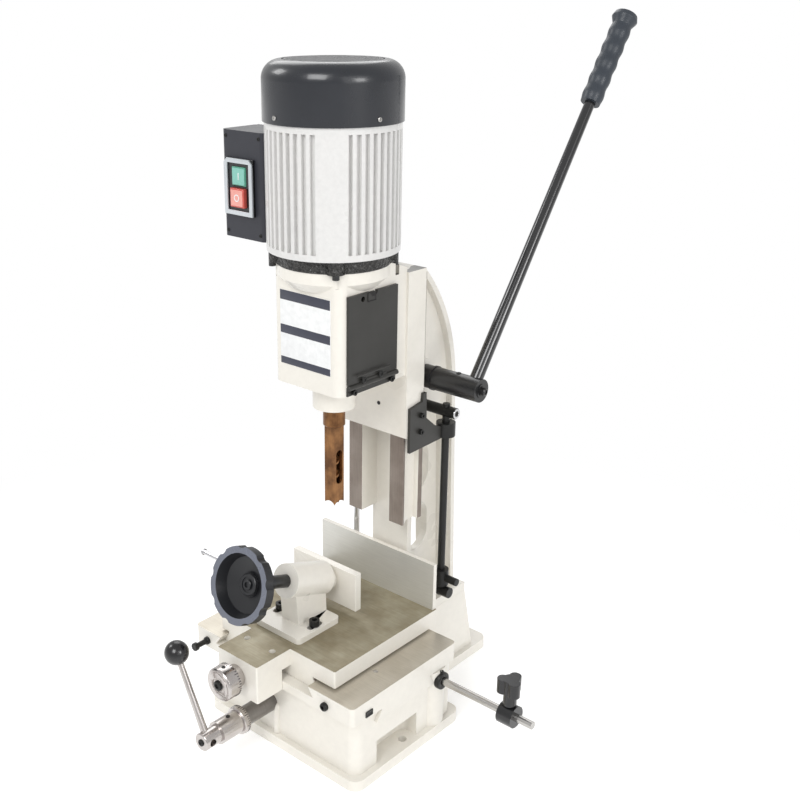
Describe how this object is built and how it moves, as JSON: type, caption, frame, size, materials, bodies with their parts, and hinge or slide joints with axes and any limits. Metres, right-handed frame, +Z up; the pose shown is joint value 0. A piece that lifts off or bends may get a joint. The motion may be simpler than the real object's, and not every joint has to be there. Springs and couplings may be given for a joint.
{
  "type": "benchtop mortiser",
  "caption": "Benchtop hollow-chisel mortiser with finned motor on a lever-fed sliding head, lever and screw driven cross table, inclined hold-down vice and stops.",
  "frame": {"origin": "midway between the two foot bolt holes on the underside, under the chisel axis", "axes": "+X to the machine right, +Y to the rear column, +Z up"},
  "size_m": [0.406, 0.6279, 0.8522],
  "materials": {
    "cast_white": "gloss enamel on castings",
    "motor_white": "gloss enamel on the finned motor",
    "cover_black": "gloss enamel",
    "wrinkle_black": "wrinkle paint",
    "ground_iron": "milled and ground",
    "rail_iron": "oiled ground rail",
    "steel": "turned",
    "chrome": "polished",
    "black_steel": "blackened",
    "tool_steel": "bronzed tool steel",
    "door_black": "satin black",
    "black_plastic": "moulded",
    "grey_plastic": "moulded grip",
    "wheel_grey": "moulded handwheel",
    "green": "moulded",
    "red": "moulded",
    "rubber": "cable sheath",
    "copper": "laminations and varnished winding",
    "aluminium": "cast"
  },
  "bodies": {
    "base": {"base_casting": "cast_white", "column_casting": "cast_white", "column_screws": "black_steel", "depth_rod": "black_steel", "rod_supports": "black_steel", "strut_rod": "chrome", "capstan_sleeve": "steel", "table_stop_rod": "steel"},
    "head": {"head_casting": "cast_white", "head_gib": "rail_iron", "head_rack": "steel", "motor_flange": "wrinkle_black", "flange_bolts": "black_steel", "motor_housing": "motor_white", "stator": "copper", "motor_bearings": "steel", "fan_cover": "cover_black", "cable_gland": "black_plastic", "motor_lead": "rubber", "door_hinge": "door_black", "hollow_chisel": "tool_steel", "strut_tube": "black_steel", "strut_bracket": "door_black", "stop_bracket": "door_black", "small_screws": "black_steel", "guide_collar": "black_steel", "switch_box": "cover_black", "switch_box_lid": "cover_black", "switch_module": "black_plastic"},
    "spindle": {"motor_rotor": "steel", "cooling_fan": "black_plastic", "drill_chuck": "chrome", "auger_bit": "tool_steel"},
    "door": {"chuck_door": "door_black"},
    "start_button": {"start_button": "green"},
    "stop_button": {"stop_button": "red"},
    "lever": {"drive_pinion": "steel", "lever_hub": "black_steel", "lever_rod": "black_steel", "lever_grip": "grey_plastic"},
    "depth_stop": {"depth_stop_collar": "black_steel"},
    "saddle": {"saddle_casting": "cast_white", "cross_nut": "steel"},
    "table": {"table_casting": "ground_iron", "table_gib": "rail_iron", "fence": "ground_iron", "fence_screws": "steel", "vice_bracket": "cast_white", "vice_screws": "black_steel"},
    "feed_screw": {"cross_screw": "steel"},
    "capstan": {"capstan_shaft": "steel", "capstan_hub": "steel", "capstan_lever": "steel", "lever_ball": "black_plastic"},
    "jaw": {"vice_jaw": "cast_white"},
    "clamp": {"clamp_screw": "black_steel", "clamp_handwheel": "wheel_grey", "handwheel_pin": "chrome"},
    "table_stop": {"table_stop_collar": "black_plastic"},
    "stop_knob": {"stop_knob": "black_plastic"}
  },
  "joints": [
    {"name": "head_slide", "type": "slide", "parent": "base", "child": "head", "axis": [0, 0, 1], "range_m": [-0.075, 0], "stiffness_N_per_m": 400, "springref_m": 0.85},
    {"name": "feed_lever", "type": "hinge", "parent": "base", "child": "lever", "pos_m": [0, 0.118, 0.436], "axis": [1, 0, 0], "range_deg": [0, 143.3]},
    {"name": "chuck_door", "type": "hinge", "parent": "head", "child": "door", "pos_m": [0.056, 0, 0.463], "axis": [0, 1, 0], "range_deg": [0, 130]},
    {"name": "spindle", "type": "hinge", "parent": "head", "child": "spindle", "pos_m": [0, 0, 0.5], "axis": [0, 0, 1], "continuous": true},
    {"name": "start_button", "type": "slide", "parent": "head", "child": "start_button", "axis": [0, 1, 0], "range_m": [0, 0.0035], "stiffness_N_per_m": 500},
    {"name": "stop_button", "type": "slide", "parent": "head", "child": "stop_button", "axis": [0, 1, 0], "range_m": [0, 0.0035], "stiffness_N_per_m": 500},
    {"name": "depth_stop", "type": "slide", "parent": "base", "child": "depth_stop", "axis": [0, 0, 1], "range_m": [0, 0.095]},
    {"name": "saddle_slide", "type": "slide", "parent": "base", "child": "saddle", "axis": [1, 0, 0], "range_m": [-0.026, 0.049]},
    {"name": "capstan", "type": "hinge", "parent": "base", "child": "capstan", "pos_m": [-0.021, -0.1, 0.054], "axis": [0, 1, 0], "range_deg": [-62.2, 117.1]},
    {"name": "table_slide", "type": "slide", "parent": "saddle", "child": "table", "axis": [0, 1, 0], "range_m": [-0.045, 0]},
    {"name": "feed_screw", "type": "hinge", "parent": "table", "child": "feed_screw", "pos_m": [-0.022, -0.1, 0.116], "axis": [0, 1, 0], "continuous": true},
    {"name": "jaw_slide", "type": "slide", "parent": "table", "child": "jaw", "axis": [0, 0.9478, -0.319], "range_m": [0, 0.024]},
    {"name": "clamp_turn", "type": "hinge", "parent": "jaw", "child": "clamp", "pos_m": [-0.022, -0.0623, 0.2064], "axis": [0, 0.9478, -0.319], "range_deg": [0, 1440]},
    {"name": "table_stop", "type": "slide", "parent": "base", "child": "table_stop", "axis": [1, 0, 0], "range_m": [-0.035, 0.015]},
    {"name": "stop_knob", "type": "hinge", "parent": "table_stop", "child": "stop_knob", "pos_m": [0.227, 0.055, 0.11], "axis": [0, 0, 1], "range_deg": [-90, 90]}
  ],
  "couplings": [
    {"joint": "feed_lever", "follows": "head_slide", "rad_per_m": -33.333},
    {"joint": "capstan", "follows": "saddle_slide", "rad_per_m": 41.667},
    {"joint": "feed_screw", "follows": "table_slide", "rad_per_m": 1570.8},
    {"joint": "clamp_turn", "follows": "jaw_slide", "rad_per_m": 1047.2}
  ]
}
